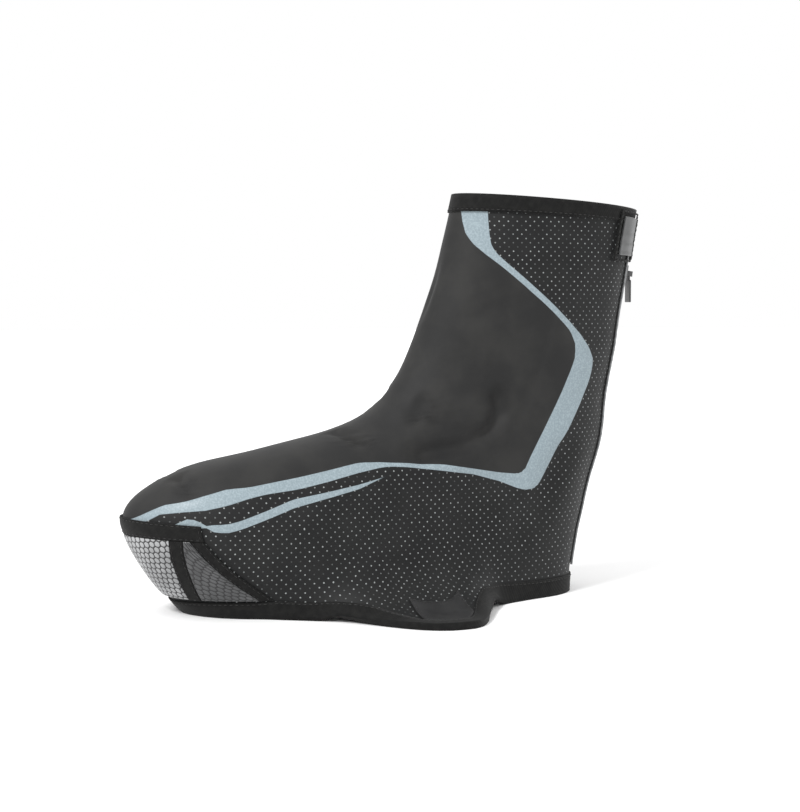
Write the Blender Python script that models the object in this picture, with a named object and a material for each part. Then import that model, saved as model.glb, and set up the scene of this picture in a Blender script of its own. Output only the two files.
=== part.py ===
# Left cycling overshoe: a soft shell that is pulled over a cycling shoe.
# It has a zip up the back, an open sole and a flap on each side that closes under the arch.
# Metres, +Z up, toe towards -Y, outer side of the foot towards +X.
# Every sheet lies on one surface, read as wall(u, e): u runs from the back centre at -1,
# over the front at 0, to the back centre at +1, and e is the length up from the hem.

from collections import namedtuple
from math import hypot
from math import pi

import bmesh
import bpy
import numpy as np
from mathutils import Matrix
from mathutils import Vector

# Sizes of the cover
foot_length = 0.293
ball_width = 0.098
heel_width = 0.074
instep_height = 0.119
collar_height = 0.257
collar_length = 0.127
collar_width = 0.068
toe_swing = 0.007          # the toe turns to the inner side
swing_reach = 0.5          # share of foot_length that turns with it

# Thicknesses
wall_thickness = 0.0018
tape_thickness = 0.0008
clearance = 0.0003
edge_clearance = 0.0006     # inside a binding's fold, past the cloth's edge

# Bindings
binding_height = 0.009

# Side flaps, open and laid out on the floor
flap_start = 0.104         # from the toe tip
flap_length = 0.120
flap_drop = 0.045          # below the hem, measured along the cloth
flap_bend_height = 0.060
hook_thickness = 0.0006
flap_patch_reach = 0.74    # least share of flap_drop under a patch
flap_patch_rows = (1.04, 2.0, 3.0)  # rows of the wall's mesh, up from the hem tape

# Toe cover
toe_cover_height = 0.044
toe_band_height = 0.008
toe_tape_width = 0.008
toe_seat = 0.0008           # between the cloth and the cover
toe_seam_low = 0.024       # from the front centre, at the hem
toe_seam_high = 0.036
toe_diagonal_low = 0.066
toe_side_top = 0.004       # the side panel's upper edge
toe_cover_gap = 0.0012     # above the hem tape

# Back zip
zip_start = 0.018
zip_slit = 0.007
zip_lip_gap = 0.0024
zip_lip_width = 0.016
zip_coil_width = 0.005
zip_stop_length = 0.003
slider_drop = 0.045        # slider centre, down from the collar edge
slider_length = 0.011
slider_width = 0.0085
slider_thickness = 0.0026
slider_bevel = 0.0008
lug_thickness = 0.0010
lug_length = 0.0036
lug_root = 0.0006          # inside the slider's body
bail_radius = 0.0006
bail_rise = 0.0024
pull_eye_radius = 0.0019
pull_eye_width = 0.0030
pull_bore_radius = 0.0010
pull_neck_length = 0.0030
pull_length = 0.0150
pull_width = 0.0070
pull_thickness = 0.0012
pull_bevel = 0.0004
neck_root = 0.6            # share of the eye's radius

# Collar strap and its patches
strap_root = 0.0100        # from the back centre, on the outer side
strap_reach = 0.0560       # from the back centre, on the inner side
strap_top = 0.0050         # down from the collar edge
strap_width = 0.0310
strap_thickness = 0.0016
strap_corner = 0.04        # how far the round end stays blunt
patch_start = 0.0106
patch_length = 0.0270
patch_top = 0.0010
patch_height = 0.0370
patch_frame = 0.0040
patch_field_thickness = 0.0011
loop_patch_start = 0.0200
loop_patch_length = 0.0440
loop_patch_top = 0.0100
loop_patch_height = 0.0270

# Mesh density
wall_columns = 60
flap_density = 0.9         # how much closer the columns lie in the flaps
sharp_angle = 0.7

# Foot sections, from the hem up. Ends are shares of foot_length, rises are shares of
# instep_height, half widths are shares of ball_width and heel_width, and the rounded
# ends are shares of the section's own length.
FootSection = namedtuple(
    "FootSection",
    "front front_rise back back_rise fore_width rear_width fore_round rear_round")
foot_sections = [
    FootSection(0.116, 0.000, 1.000, 0.000, 0.460, 0.475, 0.30, 0.17),
    FootSection(0.055, 0.176, 1.003, 0.118, 0.475, 0.485, 0.31, 0.17),
    FootSection(0.014, 0.353, 1.010, 0.227, 0.498, 0.500, 0.32, 0.17),
    FootSection(0.000, 0.470, 1.017, 0.303, 0.500, 0.500, 0.33, 0.17),
    FootSection(0.017, 0.555, 1.024, 0.361, 0.495, 0.500, 0.34, 0.18),
    FootSection(0.061, 0.639, 1.034, 0.437, 0.480, 0.495, 0.36, 0.19),
    FootSection(0.133, 0.718, 1.044, 0.521, 0.460, 0.485, 0.38, 0.21),
    FootSection(0.239, 0.777, 1.055, 0.613, 0.430, 0.475, 0.41, 0.24),
    FootSection(0.358, 0.834, 1.072, 0.739, 0.400, 0.465, 0.43, 0.27),
    FootSection(0.457, 0.899, 1.085, 0.857, 0.385, 0.460, 0.46, 0.31),
    FootSection(0.536, 1.000, 1.092, 0.975, 0.375, 0.460, 0.49, 0.36),
]

# Shaft sections. The middle is a share of foot_length, the length a share of
# collar_length, the rises are shares of the height between instep and collar.
ShaftSection = namedtuple(
    "ShaftSection",
    "middle length front_rise back_rise fore_width rear_width fore_round rear_round")
shaft_sections = [
    ShaftSection(0.848, 1.173, 0.130, 0.108, 0.530, 0.500, 0.52, 0.42),
    ShaftSection(0.872, 1.110, 0.282, 0.275, 0.515, 0.497, 0.54, 0.44),
    ShaftSection(0.896, 1.063, 0.478, 0.471, 0.505, 0.500, 0.55, 0.45),
    ShaftSection(0.923, 1.024, 0.710, 0.717, 0.500, 0.500, 0.55, 0.45),
    ShaftSection(0.950, 1.000, 1.000, 0.942, 0.500, 0.500, 0.55, 0.45),
]

# The flap's drop and how far it is bent out, along its length. All are shares: of
# flap_length, of flap_drop and of the bend that lays it flat on the floor.
FlapPoint = namedtuple("FlapPoint", "along drop bend")
flap_outline = [
    FlapPoint(-0.22, 0.00, 0.000),
    FlapPoint(0.00, 0.00, 0.380),
    FlapPoint(0.09, 0.05, 0.660),
    FlapPoint(0.24, 0.36, 0.940),
    FlapPoint(0.38, 0.74, 0.990),
    FlapPoint(0.50, 0.95, 1.000),
    FlapPoint(0.60, 1.00, 1.000),
    FlapPoint(0.68, 0.96, 0.995),
    FlapPoint(0.76, 0.72, 0.985),
    FlapPoint(0.86, 0.31, 0.900),
    FlapPoint(0.94, 0.05, 0.680),
    FlapPoint(1.00, 0.00, 0.420),
    FlapPoint(1.28, 0.00, 0.000),
]

# Places worked out from the sizes
skin = wall_thickness / 2
tape_low = skin + clearance
tape_high = tape_low + tape_thickness
toe_low = skin + toe_seat
over_tape = tape_high + 2 * clearance
edge_reach = edge_clearance + tape_thickness
hem_rise = hypot(edge_reach, tape_high)


def clear_scene():
    for thing in list(bpy.data.objects):
        bpy.data.objects.remove(thing, do_unlink=True)


def material(name, color, roughness, metallic=0.0):
    made = bpy.data.materials.new(name)
    made.use_nodes = True
    shader = made.node_tree.nodes["Principled BSDF"]
    shader.inputs["Base Color"].default_value = (*color, 1.0)
    shader.inputs["Roughness"].default_value = roughness
    shader.inputs["Metallic"].default_value = metallic
    made.diffuse_color = (*color, 1.0)
    return made


def smooth_curve(places, values):
    """Reads a monotone cubic curve through rows of values."""
    places = np.asarray(places, float)
    values = np.asarray(values, float)
    steps = np.diff(places)[:, None]
    slopes = np.diff(values, axis=0) / steps
    tangents = np.zeros_like(values)
    tangents[0] = slopes[0]
    tangents[-1] = slopes[-1]
    before = slopes[:-1]
    after = slopes[1:]
    same = before * after > 0
    total = np.where(same, before + after, 1.0)
    tangents[1:-1] = np.where(same, 2 * before * after / total, 0.0)

    def read(at):
        at = np.clip(np.asarray(at, float), places[0], places[-1])
        cell = np.clip(np.searchsorted(places, at, side="right") - 1, 0, len(places) - 2)
        step = (places[cell + 1] - places[cell])[..., None]
        share = (at - places[cell])[..., None] / step
        square = share * share
        cube = square * share
        return ((2 * cube - 3 * square + 1) * values[cell]
                + (cube - 2 * square + share) * step * tangents[cell]
                + (3 * square - 2 * cube) * values[cell + 1]
                + (cube - square) * step * tangents[cell + 1])

    return read


def resolved_sections():
    """Each section in metres: front y and z, back y and z, half widths, rounded lengths."""
    rows = []
    for row in foot_sections:
        front = row.front * foot_length
        back = row.back * foot_length
        rows.append([
            front, row.front_rise * instep_height, back, row.back_rise * instep_height,
            row.fore_width * ball_width, row.rear_width * heel_width,
            row.fore_round * (back - front), row.rear_round * (back - front)])
    shaft_height = collar_height - instep_height - hem_rise
    for row in shaft_sections:
        middle = row.middle * foot_length
        length = row.length * collar_length
        rows.append([
            middle - length / 2, instep_height + row.front_rise * shaft_height,
            middle + length / 2, instep_height + row.back_rise * shaft_height,
            row.fore_width * collar_width, row.rear_width * collar_width,
            row.fore_round * length, row.rear_round * length])
    return np.array(rows)


section_rows = resolved_sections()
front_steps = np.hypot(np.diff(section_rows[:, 0]), np.diff(section_rows[:, 1]))
back_steps = np.hypot(np.diff(section_rows[:, 2]), np.diff(section_rows[:, 3]))
section_levels = np.concatenate([[0.0], np.cumsum((front_steps + back_steps) / 2)])
collar_edge = section_levels[-1]
read_section = smooth_curve(section_levels, section_rows)
read_flap = smooth_curve(
    [flap_start + point.along * flap_length for point in flap_outline],
    [[point.drop * flap_drop, point.bend] for point in flap_outline])


def quarter_arc(across, along):
    return pi / 2 * np.sqrt((across ** 2 + along ** 2) / 2)


def half_girth(e):
    """Length round half a section, from the front centre to the back centre."""
    row = read_section(e)
    length = row[..., 2] - row[..., 0]
    middle = length - row[..., 6] - row[..., 7]
    return quarter_arc(row[..., 4], row[..., 6]) + middle + quarter_arc(row[..., 5], row[..., 7])


def bend_angle(cloth, drop):
    """The angle that a length of cloth turns through, so that it falls just this far."""
    low = np.zeros_like(cloth)
    high = np.full_like(cloth, pi / 2)
    share = drop / np.maximum(cloth, drop)
    for _ in range(40):
        middle = (low + high) / 2
        falls = np.sin(middle) / np.maximum(middle, 1e-9)
        low = np.where(falls > share, middle, low)
        high = np.where(falls > share, high, middle)
    return (low + high) / 2


def lay_out_flaps(x, y, z):
    """Bends the cloth below the bend height outwards, far enough to stay on the floor."""
    drop = flap_bend_height - hem_rise
    flap = read_flap(y)
    cloth = drop + flap[..., 0]
    needed = bend_angle(cloth, drop) / cloth
    bend = np.minimum(np.maximum(needed, flap[..., 1] / drop), 1 / drop)
    radius = 1 / np.maximum(bend, 1e-6)
    below = np.maximum(flap_bend_height - z, 0.0)
    turned = np.minimum(below / radius, pi / 2)
    flat = below - turned * radius
    out = radius * (1 - np.cos(turned)) + flat
    bent = (below > 0) & (bend > 1e-3)
    x = np.where(bent, x + np.sign(x) * out, x)
    z = np.where(bent, flap_bend_height - radius * np.sin(turned), z)
    return x, z


def wall(u, e):
    """A point of the middle of the wall; e below 0 runs down a flap."""
    u = np.where(u > 1, u - 2, np.where(u < -1, u + 2, u))
    along = np.abs(u)
    row = read_section(e)
    front, front_z, back, back_z, fore_half, rear_half, fore, rear = (
        row[..., column] for column in range(8))
    middle = back - front - fore - rear
    fore_arc = quarter_arc(fore_half, fore)
    rear_arc = quarter_arc(rear_half, rear)
    girth = fore_arc + middle + rear_arc
    fore_end = fore_arc / girth
    rear_end = 1 - rear_arc / girth
    fore_turn = pi / 2 * np.clip(along / fore_end, 0, 1)
    rear_turn = pi / 2 * np.clip((1 - along) / (1 - rear_end), 0, 1)
    share = np.clip((along - fore_end) / (rear_end - fore_end), 0, 1)
    ease = share * share * (3 - 2 * share)
    reach = fore * (1 - np.cos(fore_turn)) + middle * share + rear * np.cos(rear_turn)
    half = (fore_half * np.sin(fore_turn) + (rear_half - fore_half) * ease
            + rear_half * (np.sin(rear_turn) - 1))
    y = front + reach
    z = hem_rise + front_z + (back_z - front_z) * reach / (back - front) + np.minimum(e, 0)
    x = np.sign(u) * half
    x, z = lay_out_flaps(x, y, z)
    swing = toe_swing * np.clip(1 - y / (swing_reach * foot_length), 0, None) ** 2
    return np.stack([x - swing, y, z], axis=-1)


def frame_at(u, e):
    """The wall's point, its unit direction up the wall and its outward normal."""
    u = np.asarray(u, float)
    e = np.asarray(e, float)
    small_u = 1e-4
    small_e = 2e-5
    upper_e = np.minimum(e + small_e, collar_edge)
    lower_e = np.where(e < 0, e - small_e, np.maximum(e - small_e, 0))
    round_it = wall(u + small_u, e) - wall(u - small_u, e)
    up = wall(u, upper_e) - wall(u, lower_e)
    normal = np.cross(round_it, up)
    normal /= np.linalg.norm(normal, axis=-1, keepdims=True)
    up /= np.linalg.norm(up, axis=-1, keepdims=True)
    return wall(u, e), up, normal


def layer(u, e, height):
    point, _, normal = frame_at(u, e)
    return point + normal * np.asarray(height, float)[..., None]


# Lines of the wall's mesh

def hem_edge(u):
    """The level of the cloth's lower edge, below 0 on a flap."""
    return -read_flap(wall(u, np.zeros_like(u))[..., 1])[..., 0]


def ellipse_turn(distance, across, along):
    """The angle from a section's end at which its quarter ellipse has this length."""
    distance, across, along = np.broadcast_arrays(distance, across, along)
    turns = np.linspace(0, pi / 2, 65)
    speed = np.hypot(across[..., None] * np.cos(turns), along[..., None] * np.sin(turns))
    steps = (speed[..., 1:] + speed[..., :-1]) / 2 * turns[1]
    run = np.concatenate([np.zeros(steps.shape[:-1] + (1,)), np.cumsum(steps, axis=-1)], axis=-1)
    cell = np.clip((run <= distance[..., None]).sum(axis=-1) - 1, 0, 63)[..., None]
    start = np.take_along_axis(run, cell, axis=-1)[..., 0]
    share = (distance - start) / np.take_along_axis(steps, cell, axis=-1)[..., 0]
    return turns[cell[..., 0]] + share * turns[1]


def from_front(distance, e):
    """u at a distance round the wall from the front centre."""
    row = read_section(e)
    turn = ellipse_turn(np.abs(distance), row[..., 4], row[..., 6])
    arc = quarter_arc(row[..., 4], row[..., 6])
    return np.sign(distance) * turn / (pi / 2) * arc / half_girth(e)


def from_back(distance, e):
    """u at a distance from the back centre, positive on the outer side."""
    row = read_section(e)
    turn = ellipse_turn(np.abs(distance), row[..., 5], row[..., 7])
    arc = quarter_arc(row[..., 5], row[..., 7])
    side = np.where(np.asarray(distance, float) < 0, -1.0, 1.0)
    return side * (1 - turn / (pi / 2) * arc / half_girth(e))


def column_shares():
    """Places round the wall from -1 to 1, closer together in the flaps."""
    fine = np.linspace(0, 1, 400)
    y = wall(fine, np.zeros_like(fine))[..., 1]
    in_flap = (y > flap_start) & (y < flap_start + flap_length)
    weight = 1 + flap_density * in_flap
    run = np.concatenate([[0.0], np.cumsum((weight[1:] + weight[:-1]) / 2)])
    half_columns = wall_columns // 2
    half = np.interp(np.linspace(0, run[-1], half_columns + 1), run, fine)
    return np.concatenate([-half[:0:-1], half])


columns = column_shares()
body_levels = np.array([0.018, 0.027, 0.036, 0.044, 0.050, 0.056, 0.064, 0.074, 0.086, 0.100,
                        0.116, 0.134, 0.152, 0.170, 0.187, 0.204, 0.222, 0.243, 0.266, 0.290])
blend_level = 0.074         # up to here the mesh lines follow the flaps
levels_reach = 0.317        # the height of wall that these levels are given for


def off_edge(edge_point, normal, up, direction, closed):
    """Unit directions that lie in the cloth, square to its edge and off it."""
    along = np.gradient(edge_point, axis=0)
    if closed:
        along = np.roll(edge_point, -1, axis=0) - np.roll(edge_point, 1, axis=0)
    away = np.cross(normal, along)
    away /= np.linalg.norm(away, axis=-1, keepdims=True)
    return away * np.sign((away * up).sum(axis=-1, keepdims=True)) * direction


def wall_grid():
    """u and e of each mesh line crossing, row by row from the hem to the collar."""
    scale = (collar_edge - binding_height) / levels_reach
    levels = np.concatenate([body_levels * scale, [collar_edge - binding_height, collar_edge]])
    edge = hem_edge(columns)
    edge_point, up, normal = frame_at(columns, edge)
    speed = np.linalg.norm(wall(columns, edge + 1e-4) - edge_point, axis=-1) / 1e-4
    square = (off_edge(edge_point, normal, up, -1, True) * -up).sum(axis=-1)
    tape_line = edge + binding_height / speed / np.maximum(square, 0.5)
    rows = [edge, tape_line]
    blend = blend_level * scale
    for level in levels:
        if level < blend:
            share = (level - binding_height) / (blend - binding_height)
            rows.append(tape_line + share * (blend - tape_line))
        else:
            rows.append(np.full_like(columns, level))
    e = np.array(rows)
    u = columns[None, :] * from_back(zip_slit / 2, np.maximum(e, 0))
    return u, e


grid_u, grid_e = wall_grid()
zip_row = int(np.argmax(grid_e[:, 0] >= zip_start * 0.999))


def named_object(name, mesh, finish):
    mesh.materials.append(finish)
    thing = bpy.data.objects.new(name, mesh)
    bpy.context.scene.collection.objects.link(thing)
    return thing


def mesh_from_grids(name, outer, inner, finish, closed=False, is_hole=None):
    """Two point grids, rows by columns, joined round their free edges into one solid."""
    made = bmesh.new()
    rows, count = outer.shape[:2]
    outside = [[made.verts.new(outer[r, c]) for c in range(count)] for r in range(rows)]
    inside = [[made.verts.new(inner[r, c]) for c in range(count)] for r in range(rows)]
    cells = []
    for r in range(rows - 1):
        for c in range(count if closed else count - 1):
            if is_hole is None or not is_hole(r, c):
                cells.append((r, c))
    used = {}
    for r, c in cells:
        n = (c + 1) % count
        corners = [(r, c), (r, n), (r + 1, n), (r + 1, c)]
        for half in (corners[:3], [corners[0], corners[2], corners[3]]):
            made.faces.new([outside[i][j] for i, j in half])
            made.faces.new([inside[i][j] for i, j in reversed(half)])
        for start, end in zip(corners, corners[1:] + corners[:1]):
            used[(start, end)] = True
    for start, end in used:
        if (end, start) not in used:
            made.faces.new([
                outside[end[0]][end[1]], outside[start[0]][start[1]],
                inside[start[0]][start[1]], inside[end[0]][end[1]]])
    bmesh.ops.delete(made, geom=[v for v in made.verts if not v.link_faces], context="VERTS")
    return finished_mesh(name, made, finish)


def finished_mesh(name, made, finish):
    bmesh.ops.recalc_face_normals(made, faces=made.faces)
    mesh = bpy.data.meshes.new(name)
    made.to_mesh(mesh)
    made.free()
    mesh.shade_smooth()
    mesh.set_sharp_from_angle(angle=sharp_angle)
    return named_object(name, mesh, finish)


def sheet(name, u, e, low, high, finish):
    """A piece of sheet that lies between two heights over the wall."""
    outer = layer(u, e, np.full(u.shape, high))
    inner = layer(u, e, np.full(u.shape, low))
    return mesh_from_grids(name, outer, inner, finish)


def binding(name, edge_row, band_row, direction, finish, closed, rests=None):
    """A tape folded over an edge: direction is -1 on a lower edge and 1 on an upper one."""
    edge_point, up, normal = frame_at(grid_u[edge_row], grid_e[edge_row])
    away = off_edge(edge_point, normal, up, direction, closed)

    def over(amount, height):
        return edge_point + away * amount + normal * height

    def band(height):
        return layer(grid_u[band_row], grid_e[band_row], np.full(len(edge_point), height))

    beyond_out = over(edge_reach, tape_high)
    beyond_in = over(edge_reach, -tape_high)
    bottom = (beyond_out + beyond_in) / 2
    if rests is not None:
        beyond_out[rests, 2] = 0.0
        bottom[rests] = beyond_in[rests] * (1, 1, 0)
        beyond_in[:, 2] = np.maximum(beyond_in[:, 2], 0.0)
    profile = [band(tape_high), beyond_out, bottom, beyond_in,
               band(-tape_high), band(-tape_low),
               over(0, -tape_low), over(edge_clearance, -tape_low), over(edge_clearance, tape_low),
               over(0, tape_low), band(tape_low)]
    to_band = (3, 8, 9)
    made = bmesh.new()
    loops = [[made.verts.new(points[c]) for points in profile]
             for c in range(len(edge_point))]
    count = len(loops)
    size = len(profile)
    for c in range(count if closed else count - 1):
        this = loops[c]
        following = loops[(c + 1) % count]
        for k in range(size):
            near, far = this[k], this[(k + 1) % size]
            beyond, beside = following[(k + 1) % size], following[k]
            if (k in to_band) == (direction < 0):
                halves = [(near, far, beyond), (near, beyond, beside)]
            else:
                halves = [(near, far, beside), (far, beyond, beside)]
            for half in halves:
                made.faces.new(half)
    if not closed:
        made.faces.new(loops[0])
        made.faces.new(loops[-1])
    return finished_mesh(name, made, finish)


def band_grid(low_at, high_at, levels, count):
    """u and e between two lines, each a function that gives a distance at a level."""
    share = np.linspace(0, 1, count + 1)[None, :]
    low = low_at(levels)[:, None]
    high = high_at(levels)[:, None]
    e = np.repeat(levels[:, None], count + 1, axis=1)
    return low + (high - low) * share, e


def make_upper(cloth):
    outer = layer(grid_u, grid_e, np.full(grid_u.shape, skin))
    inner = layer(grid_u, grid_e, np.full(grid_u.shape, -skin))
    last = grid_u.shape[1] - 1
    return mesh_from_grids("upper", outer, inner, cloth, closed=True,
                           is_hole=lambda r, c: c == last and r >= zip_row)


def make_bindings(tape):
    flap = read_flap(wall(grid_u[0], np.zeros_like(grid_u[0]))[..., 1])[..., 0]
    binding("hem_binding", 0, 1, -1, tape, True, rests=flap < clearance)
    binding("collar_binding", -1, -2, 1, tape, False)


def make_toe_cover(panel, tape):
    low = binding_height + toe_cover_gap
    levels = np.linspace(low, toe_cover_height, 6)
    share = (levels - low) / (toe_cover_height - low)
    seam = toe_seam_low + (toe_seam_high - toe_seam_low) * share
    side_start = seam + toe_tape_width + clearance
    diagonal_high = toe_seam_high + toe_tape_width + toe_side_top
    side_end = toe_diagonal_low + (diagonal_high - toe_diagonal_low) * share

    def place(start, end, name, count, finish, side):
        u, e = band_grid(lambda at: from_front(start, at), lambda at: from_front(end, at),
                         levels, count)
        sheet(name, side * u, e, toe_low, toe_low + tape_thickness, finish)

    place(-seam + clearance, seam - clearance, "toe_front_panel", 10, panel, 1)
    for side, word in ((1, "outer"), (-1, "inner")):
        place(seam, seam + toe_tape_width, "toe_front_tape_" + word, 2, tape, side)
        place(side_start, side_end, "toe_side_panel_" + word, 4, panel, side)
        place(side_end + clearance, side_end + clearance + toe_tape_width,
              "toe_rear_tape_" + word, 2, tape, side)
    band = np.linspace(toe_cover_height + clearance,
                       toe_cover_height + clearance + toe_band_height, 4)
    reach = np.full(band.shape, diagonal_high + clearance + toe_tape_width)
    u, e = band_grid(lambda at: from_front(-reach, at), lambda at: from_front(reach, at),
                     band, 16)
    sheet("toe_top_band", u, e, toe_low, toe_low + tape_thickness, tape)


def make_flap_patches(plain, hook):
    """A plain patch on the outer flap's face and a fastener patch inside the other flap."""
    chosen = -grid_e[0] > flap_patch_reach * flap_drop
    for side, name, low, high, finish in (
            (1, "flap_patch_outer", tape_low, tape_high, plain),
            (-1, "flap_hook_inner", -tape_low - hook_thickness, -tape_low, hook)):
        here = np.where(chosen & (np.sign(grid_u[0]) == side))[0]
        outer = np.array([on_mesh(row, here, high) for row in flap_patch_rows])
        inner = np.array([on_mesh(row, here, low) for row in flap_patch_rows])
        mesh_from_grids(name, outer, inner, finish)


def on_mesh(row, which, height):
    """Points over the wall's own mesh, at a place between two of its rows."""
    below = int(row)
    share = row - below
    low = layer(grid_u[below][which], grid_e[below][which], np.full(len(which), height))
    high = layer(grid_u[below + 1][which], grid_e[below + 1][which],
                 np.full(len(which), height))
    return low + (high - low) * share


def zip_levels():
    """The wall's own mesh levels from the zip's foot to the collar tape."""
    levels = grid_e[zip_row:-1, 0].copy()
    levels[0] += clearance
    levels[-1] -= clearance
    return levels


def make_zip(lip_finish, coil_finish):
    levels = zip_levels()
    for side, word in ((1, "outer"), (-1, "inner")):
        start = np.full(levels.shape, side * zip_lip_gap / 2)
        end = np.full(levels.shape, side * (zip_lip_gap / 2 + zip_lip_width))
        u, e = band_grid(lambda at: from_back(start, at), lambda at: from_back(end, at),
                         levels, 3)
        sheet("zip_tape_" + word, u, e, tape_low, tape_high, lip_finish)
    half = zip_coil_width / 2
    coil_levels = levels.copy()
    coil_levels[0] += zip_stop_length + clearance
    stop_levels = np.array([levels[0], levels[0] + zip_stop_length])
    for name, at_levels, finish in (("zip_coil", coil_levels, coil_finish),
                                    ("zip_stop", stop_levels, coil_finish)):
        left = back_points(-half, at_levels)
        right = back_points(half, at_levels)
        outer = np.stack([left + back_normal(at_levels) * skin,
                          right + back_normal(at_levels) * skin], axis=1)
        inner = np.stack([left - back_normal(at_levels) * skin,
                          right - back_normal(at_levels) * skin], axis=1)
        mesh_from_grids(name, outer, inner, finish)


def back_normal(levels):
    return frame_at(np.ones_like(levels), levels)[2]


def back_points(across, levels):
    points = wall(np.ones_like(levels), levels)
    points[:, 0] = across
    return points


def make_strap(webbing, frame_finish, field, loop):
    """Strap round the back of the collar, its framed patch and the loop patch under its end."""
    top = collar_edge - strap_top
    levels = np.linspace(top - strap_width, top, 5)
    middle = (levels[0] + levels[-1]) / 2
    round_end = strap_width / 2
    lift = (levels - middle) / round_end
    end = strap_reach - round_end * (1 - np.sqrt(np.clip(1 - lift * lift, strap_corner, 1)))
    share = np.linspace(0, 1, 15)[None, :]
    distance = strap_root - (strap_root + end[:, None]) * share
    e = np.repeat(levels[:, None], share.shape[1], axis=1)
    sheet("collar_strap", from_back(distance, e), e, over_tape, over_tape + strap_thickness,
          webbing)

    patch_high = collar_edge - patch_top
    make_patch_frame(patch_high - patch_height, patch_high, frame_finish, field)

    loop_high = collar_edge - loop_patch_top
    levels = np.linspace(loop_high - loop_patch_height, loop_high, 4)
    distance = -np.linspace(loop_patch_start, loop_patch_start + loop_patch_length, 7)[None, :]
    e = np.repeat(levels[:, None], 7, axis=1)
    sheet("loop_patch", from_back(np.repeat(distance, 4, axis=0), e), e, tape_low, tape_high,
          loop)


def make_patch_frame(low, high, frame_finish, field):
    """A black border with a grey field set into it."""
    start = patch_start
    end = patch_start + patch_length
    across = np.array([start, start + patch_frame, (start + end) / 2, end - patch_frame, end])
    levels = np.array([low, low + patch_frame, (low + high) / 2, high - patch_frame, high])
    e = np.repeat(levels[:, None], 5, axis=1)
    u = from_back(np.repeat(across[None, :], 5, axis=0), e)
    outer = layer(u, e, np.full(u.shape, over_tape + tape_thickness))
    inner = layer(u, e, np.full(u.shape, over_tape))
    mesh_from_grids("strap_patch_frame", outer, inner, frame_finish,
                    is_hole=lambda r, c: r in (1, 2) and c in (1, 2))
    inset = patch_frame + clearance
    across = np.linspace(start + inset, end - inset, 3)
    levels = np.linspace(low + inset, high - inset, 3)
    e = np.repeat(levels[:, None], 3, axis=1)
    u = from_back(np.repeat(across[None, :], 3, axis=0), e)
    sheet("strap_patch_field", u, e, over_tape, over_tape + patch_field_thickness, field)


def bevelled_box(name, size, place, finish, bevel=0.0, segments=2):
    made = bmesh.new()
    bmesh.ops.create_cube(made, size=1.0, matrix=Matrix.Diagonal((*size, 1.0)))
    if bevel > 0:
        bmesh.ops.bevel(made, geom=made.edges[:], offset=bevel, segments=segments,
                        affect="EDGES", profile=0.5)
    bmesh.ops.transform(made, matrix=place, verts=made.verts)
    return finished_mesh(name, made, finish)


def cross_rod(name, radius, length, place, finish, sides=16):
    """A round rod along X."""
    made = bmesh.new()
    turn = Matrix.Rotation(pi / 2, 4, "Y")
    bmesh.ops.create_cone(made, cap_ends=True, segments=sides, radius1=radius, radius2=radius,
                          depth=length, matrix=place @ turn)
    return finished_mesh(name, made, finish)


def combine(base, tool, operation):
    """Applies one Boolean by a modifier and hides its tool."""
    cut = base.modifiers.new(tool.name, "BOOLEAN")
    cut.operation = operation
    cut.solver = "EXACT"
    cut.object = tool
    tool.hide_render = True
    tool.display_type = "WIRE"


def make_slider_and_pull(metal):
    level = collar_edge - slider_drop
    point, up, normal = frame_at(np.array(1.0), np.array(level))
    lean = np.arctan2(up[1], up[2])
    seat = Vector(point) + Vector(normal) * over_tape
    seat.x = 0.0
    place = Matrix.Translation(seat) @ Matrix.Rotation(-lean, 4, "X")
    body_place = place @ Matrix.Translation((0, slider_thickness / 2, 0))
    slider = bevelled_box("zip_slider", (slider_width, slider_thickness, slider_length),
                          body_place, metal, bevel=slider_bevel)
    bail_out = slider_thickness + bail_rise
    lug_height = bail_out + bail_radius * 2
    lug_middle = pull_eye_width / 2 + clearance + lug_thickness / 2
    for side, word in ((1, "outer"), (-1, "inner")):
        lug = bevelled_box("slider_lug_" + word,
                           (lug_thickness, lug_height, lug_length),
                           place @ Matrix.Translation(
                               (side * lug_middle, lug_height / 2 + lug_root, 0)), metal)
        combine(slider, lug, "UNION")
    axis_place = place @ Matrix.Translation((0, bail_out, 0))
    rod = cross_rod("slider_bail", bail_radius, 2 * lug_middle, axis_place, metal)
    combine(slider, rod, "UNION")

    hinge = axis_place.to_translation()
    here = Matrix.Translation(hinge)
    neck_top = pull_eye_radius * neck_root
    plate_top = neck_top + pull_neck_length
    neck_low = plate_top + pull_eye_radius
    pull = bevelled_box("zip_pull", (pull_width, pull_thickness, pull_length),
                        Matrix.Translation((0, 0, -plate_top - pull_length / 2)),
                        metal, bevel=pull_bevel, segments=1)
    neck = bevelled_box("pull_neck", (pull_eye_width, pull_thickness, neck_low - neck_top),
                        here @ Matrix.Translation((0, 0, -(neck_low + neck_top) / 2)), metal)
    eye = cross_rod("pull_eye", pull_eye_radius, pull_eye_width, here, metal)
    bore = cross_rod("pull_bore", pull_bore_radius, pull_eye_width * 2, here, metal)
    pull.location = hinge
    combine(pull, neck, "UNION")
    combine(pull, eye, "UNION")
    combine(pull, bore, "DIFFERENCE")
    return hinge


def centre_on_floor():
    """Moves the part so that the origin is under the middle of its box."""
    low = np.full(3, np.inf)
    high = np.full(3, -np.inf)
    things = [thing for thing in bpy.context.scene.objects if thing.type == "MESH"]
    for thing in things:
        if thing.hide_render or thing.name in ("zip_slider", "zip_pull"):
            continue
        points = np.array([vertex.co[:] for vertex in thing.data.vertices])
        low = np.minimum(low, points.min(axis=0))
        high = np.maximum(high, points.max(axis=0))
    shift = Vector((-(low[0] + high[0]) / 2, -(low[1] + high[1]) / 2, -low[2]))
    for thing in things:
        thing.location += shift
    return shift


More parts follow.
